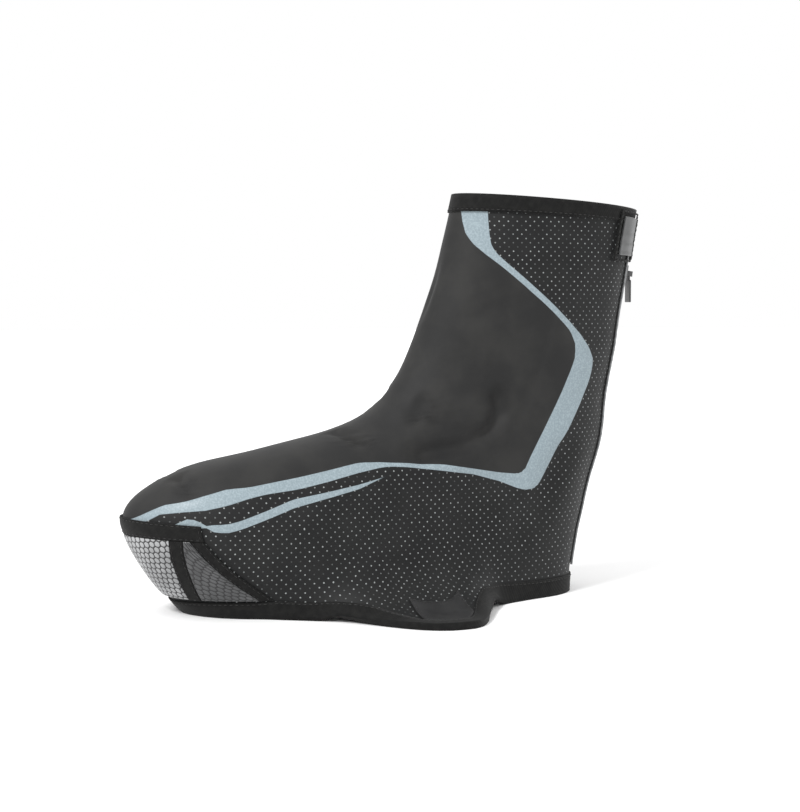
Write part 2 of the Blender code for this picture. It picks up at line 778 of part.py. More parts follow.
def build():
    clear_scene()
    cloth = material("soft_shell", (0.030, 0.030, 0.032), 0.62)
    tape = material("binding_tape", (0.012, 0.012, 0.013), 0.70)
    panel = material("coated_panel", (0.050, 0.052, 0.055), 0.38)
    plain = material("plain_patch", (0.045, 0.045, 0.048), 0.65)
    hook = material("hook_patch", (0.015, 0.015, 0.016), 0.85)
    lip = material("zip_tape", (0.16, 0.165, 0.17), 0.35)
    coil = material("zip_coil", (0.012, 0.012, 0.013), 0.45)
    webbing = material("strap_webbing", (0.025, 0.025, 0.027), 0.60)
    field = material("grey_field", (0.33, 0.34, 0.35), 0.40)
    loop = material("loop_patch", (0.013, 0.013, 0.014), 0.90)
    metal = material("black_metal", (0.03, 0.03, 0.032), 0.30, metallic=0.8)
    make_upper(cloth)
    make_bindings(tape)
    make_toe_cover(panel, tape)
    make_flap_patches(plain, hook)
    make_zip(lip, coil)
    make_strap(webbing, tape, field, loop)
    hinge = make_slider_and_pull(metal)
    shift = centre_on_floor()
    print("hinge at", [round(value, 6) for value in hinge + shift])


build()
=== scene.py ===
from math import cos, pi, radians, sin

import bmesh
import bpy
import numpy as np
from mathutils import Matrix, Vector, noise
from mathutils.bvhtree import BVHTree
from mathutils.kdtree import KDTree


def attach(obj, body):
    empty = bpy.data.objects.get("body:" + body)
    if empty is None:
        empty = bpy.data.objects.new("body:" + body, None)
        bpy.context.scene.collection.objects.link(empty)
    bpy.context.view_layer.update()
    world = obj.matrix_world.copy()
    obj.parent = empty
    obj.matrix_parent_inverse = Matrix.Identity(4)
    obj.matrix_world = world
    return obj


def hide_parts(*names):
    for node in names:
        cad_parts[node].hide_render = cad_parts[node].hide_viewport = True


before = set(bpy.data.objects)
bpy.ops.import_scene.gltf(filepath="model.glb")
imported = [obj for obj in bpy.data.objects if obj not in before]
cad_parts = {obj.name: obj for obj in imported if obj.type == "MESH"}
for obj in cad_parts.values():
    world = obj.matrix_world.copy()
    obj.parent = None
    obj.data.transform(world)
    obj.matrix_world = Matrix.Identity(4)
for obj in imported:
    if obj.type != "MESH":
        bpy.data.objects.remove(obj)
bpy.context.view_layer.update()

scene = bpy.context.scene
weld = 2e-5
# edges shorter than this cross the wall's thickness
thinEdge = 0.0022


# Shader wiring

class Wire:
    # one output of a material's node, with Python's operators for its Math nodes
    def __init__(self, tree, socket=None):
        self.tree = tree
        self.socket = socket

    def node(self, kind, settings=None, values=None, out=0):
        made = self.tree.nodes.new("ShaderNode" + kind)
        for name, value in (settings or {}).items():
            setattr(made, name, value)
        for name, value in (values or {}).items():
            if isinstance(value, Wire):
                self.tree.links.new(value.socket, made.inputs[name])
            else:
                made.inputs[name].default_value = value
        return Wire(self.tree, made.outputs[out])

    def maths(self, operation, first, second=0.0):
        return self.node("Math", {"operation": operation}, {0: first, 1: second})

    def __add__(self, other):
        return self.maths("ADD", self, other)

    __radd__ = __add__

    def __sub__(self, other):
        return self.maths("SUBTRACT", self, other)

    def __rsub__(self, other):
        return self.maths("SUBTRACT", other, self)

    def __mul__(self, other):
        return self.maths("MULTIPLY", self, other)

    __rmul__ = __mul__

    def least(self, other):
        return self.maths("MINIMUM", self, other)

    def most(self, other):
        return self.maths("MAXIMUM", self, other)

    def wave(self):
        return self.maths("SINE", self)

    def offCell(self):
        # how far a value lies from the nearest whole number
        return self - self.maths("ROUND", self)

    def ramp(self, low, high):
        return self.node("MapRange", {"interpolation_type": "SMOOTHSTEP"},
                         {"Value": self, "From Min": low, "From Max": high})

    def mix(self, first, second):
        return self.node("Mix", {"data_type": "RGBA"},
                         {0: self, 6: colourOf(first), 7: colourOf(second)}, out=2)

    def objectPlace(self):
        return self.node("TexCoord", out=3)

    def noise(self, scale, detail=2.0):
        return self.node("TexNoise", None, {
            "Vector": self.objectPlace(), "Scale": scale, "Detail": detail})

    def attribute(self, name):
        return self.node("Attribute", {"attribute_name": name}, out=2)

    def clothPlace(self):
        # the place on the cloth, in millimetres along and across it
        parts = self.node("SeparateXYZ", None, {0: self.node("UVMap", {"uv_map": "cloth"})})
        across = Wire(self.tree, parts.socket) * 1000
        along = Wire(self.tree, parts.socket.node.outputs[1]) * 1000
        return across, along

    def bump(self, height, distance, strength):
        return self.node("Bump", None, {
            "Strength": strength, "Distance": distance, "Height": height})


def colourOf(value):
    return value if isinstance(value, Wire) else (*value, 1.0)


def newMaterial(name, fixed, paint):
    made = bpy.data.materials.new(name)
    made.use_nodes = True
    shader = made.node_tree.nodes["Principled BSDF"]
    for socket, value in fixed.items():
        shader.inputs[socket].default_value = value
    for socket, wire in paint(Wire(made.node_tree)).items():
        made.node_tree.links.new(wire.socket, shader.inputs[socket])
    return made


def fineWeave(start, pitch):
    # crossing threads, in a share from 0 to 1
    across, along = start.clothPlace()
    turn = 2 * pi / pitch
    return ((across * turn).wave() * (along * turn).wave()) * 0.5 + 0.5


# Materials

shellLook = {
    "mainDark": (0.0110, 0.0110, 0.0111),
    "mainLight": (0.0200, 0.0196, 0.0188),
    "sideDark": (0.0040, 0.0043, 0.0045),
    "sideLight": (0.0085, 0.0088, 0.0088),
    "dotDim": (0.045, 0.048, 0.048),
    "dotBright": (0.27, 0.285, 0.285),
    "stripeDark": (0.212, 0.262, 0.288),
    "stripeLight": (0.275, 0.335, 0.365),
    "fleeceDark": (0.006, 0.006, 0.0065),
    "fleeceLight": (0.020, 0.020, 0.021),
    "dotPitch": 5.4,
    "dotRadius": 0.46,
}


def paintShell(start):
    look = shellLook
    across, along = start.clothPlace()
    mottle = start.noise(38.0, 4.0)
    grain = start.noise(1900.0, 2.0)
    fuzz = start.noise(420.0, 5.0)
    main = mottle.ramp(0.35, 0.70).mix(look["mainDark"], look["mainLight"])
    side = mottle.ramp(0.35, 0.70).mix(look["sideDark"], look["sideLight"])

    # small light dots on two square lattices, one in the middle of the other
    near = None
    glow = None
    for shift in (0.0, 0.5):
        column = across * (1 / look["dotPitch"]) + shift
        row = along * (1 / look["dotPitch"]) + shift
        offColumn = column.offCell()
        offRow = row.offCell()
        distance = offColumn * offColumn + offRow * offRow
        cell = start.node("CombineXYZ", None, {0: column - offColumn, 1: row - offRow, 2: shift})
        random = start.node("TexWhiteNoise", {"noise_dimensions": "3D"}, {"Vector": cell})
        near = distance if near is None else near.least(distance)
        inside = 1 - distance.ramp(0.02, 0.06)
        glow = random * inside if glow is None else glow + random * inside
    size = (look["dotRadius"] / look["dotPitch"]) ** 2
    dot = 1 - near.ramp(size * 0.45, size * 1.5)
    brightness = glow.ramp(0.0, 0.9)
    dots = brightness.mix(look["dotDim"], look["dotBright"])
    side = dot.mix(side, dots)

    # each panel's edge comes in as a signed distance in millimetres; a stripe is what they leave
    onMain, onSide, above, below = [
        start.attribute(name).ramp(-0.15, 0.15)
        for name in ("mainPanel", "sidePanel", "above", "below")]
    stripe = (1 - onMain.most(onSide)).most((1 - above.most(below)) * onSide)
    sparkle = start.noise(900.0, 1.0).ramp(0.35, 0.75)
    film = sparkle.mix(look["stripeDark"], look["stripeLight"])
    outside = stripe.mix(onSide.mix(main, side), film)
    inner = start.attribute("inner").ramp(0.4, 0.6)
    fleece = fuzz.ramp(0.30, 0.70).mix(look["fleeceDark"], look["fleeceLight"])
    colour = inner.mix(outside, fleece)

    weave = fineWeave(start, 0.9)
    relief = (grain * 0.25 + weave * 0.35 * onSide + dot * onSide * 1.2) * (1 - stripe)
    relief = relief + stripe * 0.9 + start.noise(120.0, 3.0) * 0.6
    relief = relief * (1 - inner) + fuzz * inner * 6.0
    rough = 0.60 + mottle * 0.10 - stripe * 0.26 - onSide * 0.06
    rough = rough * (1 - inner) + inner * 0.95
    return {"Base Color": colour, "Roughness": rough, "Normal": start.bump(relief, 0.00012, 0.8)}


shellCloth = newMaterial("shellCloth", {
    "Sheen Weight": 0.03, "Sheen Roughness": 0.5, "Specular IOR Level": 0.26}, paintShell)


def paintTape(start):
    # a narrow ribbed binding tape
    parts = start.node("SeparateXYZ", None, {0: start.objectPlace()})
    sides = [Wire(start.tree, parts.socket.node.outputs[i]) for i in range(3)]
    ribs = ((sides[0] + sides[1] + sides[2] * 0.4) * (2 * pi / 0.0012)).wave() * 0.5 + 0.5
    wear = start.noise(260.0, 4.0)
    colour = (wear.ramp(0.3, 0.75) * 0.7 + ribs * 0.3).mix((0.0030, 0.0030, 0.0030),
                                                          (0.0110, 0.0110, 0.0105))
    relief = ribs * 0.6 + start.noise(1500.0, 2.0) * 0.6
    return {"Base Color": colour, "Roughness": 0.74 + wear * 0.12,
            "Normal": start.bump(relief, 0.00014, 0.8)}


tapeCloth = newMaterial("tapeCloth", {
    "Sheen Weight": 0.05, "Sheen Roughness": 0.45, "Specular IOR Level": 0.18}, paintTape)


def panelPainter(dark, light):
    def paintPanel(start):
        # coated scales: light faces, with painted shade darkening the grooves between them nearly to
        # black
        scale = start.attribute("emboss")
        wear = start.noise(70.0, 3.0)
        grain = start.noise(1700.0, 2.0)
        face = wear.ramp(0.3, 0.7).mix(dark, light)
        # painted shade: the grooves where the scales meet get a near-black colour
        colour = scale.ramp(0.25, 0.70).mix((0.004, 0.004, 0.005), face)
        return {"Base Color": colour, "Roughness": 0.34 + wear * 0.16 - scale * 0.04,
                "Normal": start.bump(grain, 0.00006, 0.5)}
    return paintPanel


panelLook = {"Specular IOR Level": 0.55, "Coat Weight": 0.25, "Coat Roughness": 0.28}
# the front panel's copy of the coated panel is painted much lighter than the side panels' copy: a
# painted highlight on the front
highlitFrontPanel = newMaterial("highlitFrontPanel", panelLook,
                          panelPainter((0.200, 0.203, 0.207), (0.330, 0.334, 0.340)))
coatedSide = newMaterial("coatedSide", panelLook,
                         panelPainter((0.030, 0.031, 0.032), (0.060, 0.061, 0.063)))


def paintPlain(start):
    mottle = start.noise(60.0, 3.0)
    weave = fineWeave(start, 0.8)
    colour = mottle.ramp(0.3, 0.7).mix((0.014, 0.014, 0.0145), (0.026, 0.026, 0.0265))
    return {"Base Color": colour, "Roughness": 0.58 + mottle * 0.12,
            "Normal": start.bump(weave * 0.4 + start.noise(1400.0) * 0.4, 0.00010, 0.7)}


plainPatch = newMaterial("plainPatch", {"Specular IOR Level": 0.28}, paintPlain)


def paintLoops(start):
    # brushed loops of a fastener tape
    coarse = start.noise(330.0, 5.0)
    fine = start.noise(1500.0, 3.0)
    colour = coarse.ramp(0.35, 0.70).mix((0.003, 0.003, 0.003), (0.020, 0.019, 0.018))
    return {"Base Color": colour, "Roughness": 0.88 + fine * 0.1,
            "Normal": start.bump(coarse * 1.6 + fine * 0.5, 0.0006, 1.0)}


loopCloth = newMaterial("loopCloth", {"Sheen Weight": 0.10, "Sheen Roughness": 0.6,
                                      "Specular IOR Level": 0.2}, paintLoops)


def paintZipTape(start):
    along = start.clothPlace()[1]
    smear = start.noise(26.0, 3.0)
    ribs = (along * (2 * pi / 0.7)).wave() * 0.5 + 0.5
    colour = smear.ramp(0.3, 0.75).mix((0.018, 0.018, 0.0185), (0.034, 0.0345, 0.035))
    return {"Base Color": colour, "Roughness": 0.27 + smear * 0.14,
            "Normal": start.bump(ribs * 0.35 + start.noise(900.0) * 0.4, 0.00006, 0.6)}


zipTape = newMaterial("zipTape", {"Coat Weight": 0.2, "Coat Roughness": 0.2}, paintZipTape)


def paintCoil(start):
    wear = start.noise(900.0, 3.0)
    colour = wear.ramp(0.3, 0.7).mix((0.008, 0.008, 0.008), (0.022, 0.022, 0.022))
    return {"Base Color": colour, "Roughness": 0.36 + wear * 0.2,
            "Normal": start.bump(wear, 0.00005, 0.5)}


zipCoil = newMaterial("zipCoil", {"Specular IOR Level": 0.5}, paintCoil)


def paintMetal(start):
    wear = start.noise(700.0, 4.0)
    edge = start.node("NewGeometry", out=7).ramp(0.53, 0.60)
    colour = (wear.ramp(0.5, 0.8) * 0.4 + edge * 0.6).mix((0.018, 0.018, 0.019),
                                                         (0.150, 0.150, 0.150))
    return {"Base Color": colour, "Roughness": 0.24 + wear * 0.22,
            "Normal": start.bump(start.noise(2500.0), 0.00003, 0.4)}


blackMetal = newMaterial("blackMetal", {"Metallic": 0.75, "Coat Weight": 0.5,
                                        "Coat Roughness": 0.15}, paintMetal)


def paintWebbing(start):
    # a close basket weave with a lighter thread
    weave = fineWeave(start, 1.5)
    fuzz = start.noise(600.0, 4.0)
    colour = (weave * 0.65 + fuzz * 0.35).ramp(0.25, 0.85).mix((0.004, 0.004, 0.004),
                                                              (0.030, 0.0305, 0.030))
    return {"Base Color": colour, "Roughness": 0.60 + fuzz * 0.16,
            "Normal": start.bump(weave + fuzz * 0.4, 0.00022, 0.9)}


strapWebbing = newMaterial("strapWebbing", {"Sheen Weight": 0.06,
                                            "Sheen Roughness": 0.4}, paintWebbing)


def paintField(start):
    across = start.clothPlace()[0]
    mottle = start.noise(120.0, 3.0)
    ribs = (across * (2 * pi / 1.1)).wave() * 0.5 + 0.5
    colour = (mottle.ramp(0.3, 0.7) * 0.6 + ribs * 0.4).mix((0.030, 0.031, 0.0315),
                                                           (0.085, 0.087, 0.088))
    return {"Base Color": colour, "Roughness": 0.30 + mottle * 0.16,
            "Normal": start.bump(ribs * 0.6 + start.noise(1200.0) * 0.3, 0.0001, 0.7)}


greyField = newMaterial("greyField", {"Specular IOR Level": 0.6}, paintField)


def paintThread(start):
    twist = start.noise(2200.0, 3.0)
    colour = twist.ramp(0.3, 0.7).mix((0.012, 0.012, 0.012), (0.045, 0.045, 0.044))
    return {"Base Color": colour, "Roughness": 0.62 + twist * 0.1,
            "Normal": start.bump(twist, 0.00008, 0.6)}


blackThread = newMaterial("blackThread", {"Specular IOR Level": 0.3}, paintThread)


def paintPipe(start):
    wear = start.noise(400.0, 3.0)
    colour = wear.ramp(0.3, 0.7).mix((0.16, 0.165, 0.167), (0.30, 0.305, 0.31))
    return {"Base Color": colour, "Roughness": 0.42 + wear * 0.2,
            "Normal": start.bump(wear, 0.00006, 0.5)}


greyPipe = newMaterial("greyPipe", {"Specular IOR Level": 0.5}, paintPipe)
print("materials made")


# Shared makers

def connected(faces):
    # groups of faces that touch along edges
    left = set(faces)
    groups = []
    for first in faces:
        if first not in left:
            continue
        left.discard(first)
        group = [first]
        for face in group:
            for edge in face.edges:
                for other in edge.link_faces:
                    if other in left:
                        left.discard(other)
                        group.append(other)
        groups.append(group)
    return groups


def cellScore(edge):
    # 0 where the two triangles on an edge make a rectangle
    far = [next(vert for vert in face.verts if vert not in edge.verts)
           for face in edge.link_faces]
    span = (far[0].co - far[1].co).length
    return abs(span - edge.calc_length()) / span


def readDiagonals(first, group):
    # every cell was cut along the same diagonal, so one cell tells all the others
    cut = {face: first for face in first.link_faces}
    waiting = list(cut)
    for face in waiting:
        known = cut[face]
        for edge in face.edges:
            if edge is known:
                continue
            start = next(vert for vert in edge.verts if vert in known.verts)
            end = edge.other_vert(start)
            for other in edge.link_faces:
                if other not in group or other in cut:
                    continue
                diagonal = next(e for e in other.edges if e is not edge and end in e.verts)
                if any(half not in group or half in cut for half in diagonal.link_faces):
                    continue
                for half in diagonal.link_faces:
                    cut[half] = diagonal
                    waiting.append(half)
    return cut


def joinCells(made, thin):
    wide = [face for face in made.faces if len(face.verts) == 3
            and min(edge.calc_length() for edge in face.edges) > thin]
    diagonals = set()
    for group in connected(wide):
        inGroup = set(group)
        middle = next((face for face in group if all(
            all(f in inGroup for f in edge.link_faces) for edge in face.edges)), None)
        if middle is None:
            continue
        readings = [readDiagonals(edge, inGroup) for edge in middle.edges]
        diagonals.update(max(readings, key=lambda cut: (
            len(cut), -sum(cellScore(edge) for edge in set(cut.values())))).values())
    bmesh.ops.dissolve_edges(made, edges=list(diagonals), use_verts=False)


def cageOf(node, thin=thinEdge):
    # a copy of the node's mesh, welded and with its triangles joined to quads
    made = bmesh.new()
    made.from_mesh(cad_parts[node].data)
    bmesh.ops.remove_doubles(made, verts=made.verts, dist=weld)
    made.edges.index_update()
    if thin:
        joinCells(made, thin)
    bmesh.ops.join_triangles(made, faces=made.faces, angle_face_threshold=pi,
                             angle_shape_threshold=pi)
    made.normal_update()
    return made


def finishPiece(name, made, material, body, replaced=(), sharp=50):
    mesh = bpy.data.meshes.new(name)
    made.to_mesh(mesh)
    made.free()
    mesh.materials.append(material)
    piece = bpy.data.objects.new(name, mesh)
    scene.collection.objects.link(piece)
    mesh.shade_smooth()
    mesh.set_sharp_from_angle(angle=radians(sharp))
    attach(piece, body)
    if replaced:
        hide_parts(*replaced)
    print(name, len(mesh.polygons), "faces")


smoothLook = {"levels": 2, "crease": 55, "passes": 3, "step": 0.8}


def smoothed(made):
    # subdivides a cage so that the smooth surface still passes through the cage's corners
    corner = made.edges.layers.float.new("crease_edge")
    for edge in made.edges:
        if len(edge.link_faces) != 2 or edge.calc_face_angle(0) > radians(smoothLook["crease"]):
            edge[corner] = 1.0
    mesh = bpy.data.meshes.new("cage")
    made.to_mesh(mesh)
    made.free()
    holder = bpy.data.objects.new("cage", mesh)
    scene.collection.objects.link(holder)
    surface = holder.modifiers.new("surface", "SUBSURF")
    surface.levels = smoothLook["levels"]
    surface.render_levels = smoothLook["levels"]
    count = len(mesh.vertices)
    wanted = np.array([v.co[:] for v in mesh.vertices])
    control = wanted.copy()
    for _ in range(smoothLook["passes"]):
        mesh.vertices.foreach_set("co", control.ravel())
        mesh.update()
        bpy.context.view_layer.update()
        shown = holder.evaluated_get(bpy.context.evaluated_depsgraph_get()).data
        reached = np.array([shown.vertices[i].co[:] for i in range(count)])
        control += (wanted - reached) * smoothLook["step"]
    mesh.vertices.foreach_set("co", control.ravel())
    mesh.update()
    bpy.context.view_layer.update()
    shown = holder.evaluated_get(bpy.context.evaluated_depsgraph_get()).data
    final = bmesh.new()
    final.from_mesh(shown)
    bpy.data.objects.remove(holder)
    bpy.data.meshes.remove(mesh)
    return final


def gridOf(made, faces):
    # the corner places of a patch of quads, as columns and rows of points, facing outwards
    allowed = {face for face in faces if len(face.verts) == 4}
    start = next(iter(sorted(allowed, key=lambda face: face.index)))
    places = {loop.vert: at for loop, at in zip(start.loops, ((0, 0), (1, 0), (1, 1), (0, 1)))}
    waiting = [start]
    seen = {start}
    while waiting:
        face = waiting.pop(0)
        for edge in face.edges:
            for other in edge.link_faces:
                if other in seen or other not in allowed:
                    continue
                for vert in edge.verts:
                    before = next(e for e in vert.link_edges if e in face.edges and e != edge)
                    after = next(e for e in vert.link_edges if e in other.edges and e != edge)
                    here = places[vert]
                    back = places[before.other_vert(vert)]
                    step = (2 * here[0] - back[0], 2 * here[1] - back[1])
                    places.setdefault(after.other_vert(vert), step)
                seen.add(other)
                waiting.append(other)
    low = np.array(list(places.values())).min(axis=0)
    size = np.array(list(places.values())).max(axis=0) - low + 1
    points = np.full((*size, 3), np.nan)
    normals = np.full((*size, 3), np.nan)
    for vert, at in places.items():
        points[at[0] - low[0], at[1] - low[1]] = vert.co
        facing = sum((face.normal for face in vert.link_faces if face in allowed), Vector())
        normals[at[0] - low[0], at[1] - low[1]] = facing.normalized()
    if abs(np.nanmean(np.diff(points, axis=0)[..., 2])) > abs(
            np.nanmean(np.diff(points, axis=1)[..., 2])):
        points = points.swapaxes(0, 1)
        normals = normals.swapaxes(0, 1)
    if np.nanmean(np.diff(points, axis=1)[..., 2]) < 0:
        points = points[:, ::-1]
        normals = normals[:, ::-1]
    middle = tuple(n // 2 - 1 for n in points.shape[:2])
    across = points[middle[0] + 1, middle[1]] - points[middle]
    upward = points[middle[0], middle[1] + 1] - points[middle]
    if np.dot(np.cross(across, upward), normals[middle]) < 0:
        points = points[::-1]
    return points


# Upper

foldTable = {
    # each fold: its line in millimetres, half width and depth
    "ankleNotch": ([(9, -5, 139), (18, -2, 133), (27, 1, 124), (31, 4, 118)], 5.0, 2.4),
    "ankleSecond": ([(26, 9, 126), (33, 20, 118), (38, 34, 112)], 6.5, 1.5),
    "instepPinch": ([(9, -44, 110), (20, -37, 106), (28, -31, 103)], 4.5, 1.6),
    "bulgeUnder": ([(40, 4, 97), (40, 20, 99), (41, 36, 102), (39, 52, 110), (37, 59, 121),
                    (37, 57, 130)], 9.0, 2.9),
    "shinLong": ([(20, 8, 150), (30, 22, 153), (37, 42, 152)], 6.5, 1.1),
    "shinHigh": ([(31, 44, 183), (34, 60, 187), (36, 78, 190)], 7.5, 0.9),
    "toePinch": ([(6, -142, 84), (15, -140, 79), (22, -137, 74)], 5.0, 1.5),
    "heelSoft": ([(34, 104, 92), (37, 86, 60), (37, 72, 46)], 12.0, 1.5),
    "sideSoft": ([(42, -52, 60), (42, -24, 66), (39, 2, 62)], 11.0, 1.2),
    "flapRoot": ([(58, -18, 30), (64, 8, 26), (60, 34, 28)], 10.0, 1.4),
    "innerAnkle": ([(-9, -4, 129), (-20, 0, 121), (-33, 10, 110)], 6.0, 2.4),
    "innerBulge": ([(-40, 22, 96), (-40, 42, 102), (-38, 56, 114)], 9.5, 2.0),
    "innerShin": ([(-32, 56, 180), (-34, 58, 160), (-35, 66, 140)], 12.0, 1.2),
    "innerSide": ([(-44, -60, 56), (-43, -26, 63), (-40, 6, 60)], 11.0, 1.3),
    "innerHeel": ([(-33, 110, 104), (-37, 92, 70), (-37, 76, 50)], 12.0, 1.4),
    "innerToe": ([(-14, -141, 82), (-24, -134, 76)], 5.0, 1.2),
}
foldLook = {"gain": 2.1, "ridge": 0.75, "waveSize": 0.042, "waveHeight": 0.0016,
            "low": 0.004, "high": 0.252, "fade": 0.03}
# edges of the panels in side view, in millimetres along the foot and up
mainEdge = [
    (43, 300), (43, 240), (44, 231), (48, 225), (54, 219), (63, 211.5), (83, 194), (103.5, 176),
    (109, 170.5), (112.5, 163), (113, 155), (110, 147), (103, 133), (91, 111), (80, 91),
    (76, 83), (72, 80.5), (58, 82), (38, 85.5), (17, 89), (-5, 90.5), (-24, 92), (-37, 92),
    (-56, 88), (-75, 84.5), (-95, 81), (-106, 79), (-118, 78), (-131, 74), (-143, 70.5),
    (-153, 69), (-161, 65), (-172, 58), (-200, 40), (-200, 300)]
sideEdge = [
    (56, 300), (56, 240), (56.5, 227), (59, 221), (65.5, 214.5), (88, 194.5), (108, 177),
    (117, 168.5), (124, 160.5), (128, 153), (128, 147), (125.5, 138), (118, 124), (103, 100), (90, 78),
    (86, 72), (79, 70), (72, 71), (58, 76.5), (38, 82), (17, 85), (-5, 88), (-18, 89.3),
    (-25, 88.7), (-38, 86.2), (-58, 81.5), (-77, 77.7), (-96, 75.2), (-106, 73), (-120, 68.6),
    (-132, 66), (-144, 65), (-156, 63.5), (-166, 57), (-172, 52), (-200, 30), (-200, -60),
    (200, -60), (200, 300)]
aboveEdge = [
    (-200, 52), (-150, 57), (-147.5, 58.6), (-141, 61.6), (-136, 60), (-132.5, 57.3),
    (-127, 58), (-121, 58), (-113, 60), (-98, 65.5), (-81, 72), (-59, 75.5), (-40, 79),
    (-17, 84.5), (0, 88), (200, 130), (200, 400), (-200, 400)]
belowEdge = [
    (-200, 54), (-150, 58), (-147, 57.4), (-141, 55), (-135.5, 56), (-132.5, 56.5),
    (-128, 53.8), (-121, 53), (-113, 55), (-98, 60.5), (-81, 67), (-59, 72), (-40, 76.5),
    (-17, 85.5), (0, 90), (200, 132), (200, -60), (-200, -60)]
bendLook = {"height": 0.060, "band": 0.004}
backLook = {"line": 0.1215, "slope": 0.20, "reach": 0.055, "across": 0.035}


def outlineDistance(outline, places):
    # signed distance from a closed outline, below 0 inside, all in millimetres
    corners = np.array(outline, float)
    ends = np.roll(corners, -1, axis=0)
    least = np.full(len(places), np.inf)
    within = np.zeros(len(places), bool)
    for start, end in zip(corners, ends):
        along = end - start
        share = np.clip((places - start) @ along / (along @ along), 0, 1)
        gap = np.linalg.norm(places - start - share[:, None] * along, axis=1)
        least = np.minimum(least, gap)
        crosses = (start[1] > places[:, 1]) != (end[1] > places[:, 1])
        rise = np.where(abs(along[1]) > 1e-9, along[1], 1e-9)
        meet = start[0] + (places[:, 1] - start[1]) / rise * along[0]
        within ^= crosses & (places[:, 0] < meet)
    return np.where(within, -least, least)


def foldShift(points, normals):
    # how far each point moves along its normal: soft troughs with a low ridge beside them
    moved = np.zeros(len(points))
    for line, width, depth in foldTable.values():
        corners = np.array(line, float) / 1000
        gap = np.full(len(points), np.inf)
        for start, end in zip(corners[:-1], corners[1:]):
            along = end - start
            share = np.clip((points - start) @ along / (along @ along), 0, 1)
            gap = np.minimum(gap, np.linalg.norm(points - start - share[:, None] * along, axis=1))
        ratio = (gap / (width / 1000)) ** 2
        trough = (1 - foldLook["ridge"] * ratio) * np.exp(-ratio)
        moved -= foldLook["gain"] * depth / 1000 * trough
    for i, point in enumerate(points):
        moved[i] += foldLook["waveHeight"] * noise.noise(Vector(point) / foldLook["waveSize"])
    level = points[:, 2]
    fade = np.clip((level - foldLook["low"]) / foldLook["fade"], 0, 1)
    fade *= np.clip((foldLook["high"] - level) / foldLook["fade"], 0, 1)
    return normals * (moved * fade)[:, None]


def wallLayers(made):
    # the outer and the inner faces of the welded wall, apart from the narrow rim between them
    rims = {face for face in made.faces
            if min(edge.calc_length() for edge in face.edges) < thinEdge}
    left = set(made.faces) - rims
    layers = connected([face for face in made.faces if face in left])
    layers.sort(key=lambda layer: -max(
        vert.co.x for face in layer for vert in face.verts if vert.co.z > 0.15))
    return layers


shellCage = cageOf("upper")
outerLayer, innerLayer = wallLayers(shellCage)[:2]
print("wall:", len(outerLayer), "outer faces,", len(innerLayer), "inner,",
      sum(len(face.verts) == 3 for face in shellCage.faces), "triangles left")
insideMark = shellCage.verts.layers.float.new("inner")
for vert in {vert for face in innerLayer for vert in face.verts}:
    vert[insideMark] = 1.0

smooth = smoothed(shellCage)
smooth.normal_update()
mark = smooth.verts.layers.float["inner"]
restPoints = np.array([vert.co[:] for vert in smooth.verts])
isInner = np.array([vert[mark] for vert in smooth.verts])
outerIndex = np.where(isInner < 0.5)[0]
innerIndex = np.where(isInner >= 0.5)[0]

# smoothing can bring the lining up to the outer face over a tight bend: it is set back there
liningLook = {"least": 0.0012, "set": 0.0015, "reach": 0.004}
outerTree = BVHTree.FromPolygons(
    [Vector(p) for p in restPoints],
    [[vert.index for vert in face.verts] for face in smooth.faces
     if all(isInner[vert.index] < 0.5 for vert in face.verts)])
setBack = 0
for index in innerIndex:
    place = Vector(restPoints[index])
    foot, facing, _, gap = outerTree.find_nearest(place)
    if gap < liningLook["reach"] and (foot - place).dot(facing) < liningLook["least"]:
        restPoints[index] = foot - facing * liningLook["set"]
        setBack += 1
print("lining points set back:", setBack)
restNormals = np.array([vert.normal[:] for vert in smooth.verts])
nearOuter = KDTree(len(outerIndex))
for place, index in enumerate(outerIndex):
    nearOuter.insert(restPoints[index], index)
nearOuter.balance()
outward = restNormals.copy()
base = restPoints.copy()
for index in innerIndex:
    found = nearOuter.find(restPoints[index])[1]
    outward[index] = restNormals[found]
    base[index] = restPoints[found]
shift = foldShift(base, outward)


nearCount = 4
floorGap = 0.0003


def shiftAt(point):
    # the wall's own move at a place, weighed from the nearest few points
    total = Vector()
    weights = 0.0
    for _, index, gap in nearOuter.find_n(point, nearCount):
        weight = 1 / (gap + weld / 2)
        total += Vector(shift[index]) * weight
        weights += weight
    return total / weights


moved = restPoints + shift
moved[:, 2] = np.maximum(moved[:, 2], floorGap)
for vert, place in zip(smooth.verts, moved):
    vert.co = place

wallTree = BVHTree.FromPolygons([Vector(p) for p in moved],
                                [[v.index for v in face.verts] for face in smooth.faces])


def clothCoordinates(points):
    # the cut cloth's own flat places: the back's turn and the flaps' bend are laid out flat
    y = points[:, 1]
    z = points[:, 2]
    backLine = backLook["line"] + backLook["slope"] * np.clip(z, 0, 1)
    reach = backLook["reach"]
    across = backLook["across"]
    turn = np.arcsin(np.clip((y - backLine + reach) / reach, 0, 1))
    steps = np.linspace(0, pi / 2, 60)
    speed = np.hypot(reach * np.cos(steps), across * np.sin(steps))
    run = np.concatenate([[0], np.cumsum((speed[1:] + speed[:-1]) / 2 * steps[1])])
    flatY = y + np.interp(turn, steps, run) - reach * np.sin(turn)
    # the wall's half width at the flaps' bend, read off the wall itself
    height = bendLook["height"]
    level = np.abs(z - height) < bendLook["band"]
    flatZ = z.copy()
    for side in (-1, 1):
        here = level & (np.sign(points[:, 0]) == side)
        order = np.argsort(y[here])
        width = np.interp(y, y[here][order], np.abs(points[here, 0])[order])
        out = np.abs(points[:, 0]) - width
        below = height - z
        bent = (below > 0) & (out > 1e-5) & (np.sign(points[:, 0]) == side)
        angle = 2 * np.arctan2(np.maximum(out, 0), np.maximum(below, 1e-6))
        over = angle > pi / 2
        angle = np.minimum(angle, pi / 2)
        radius = np.maximum(below, 1e-6) / np.maximum(np.sin(angle), 1e-6)
        length = radius * angle + np.where(over, out - radius, 0)
        flatZ = np.where(bent, height - length, flatZ)
    return flatY, flatZ


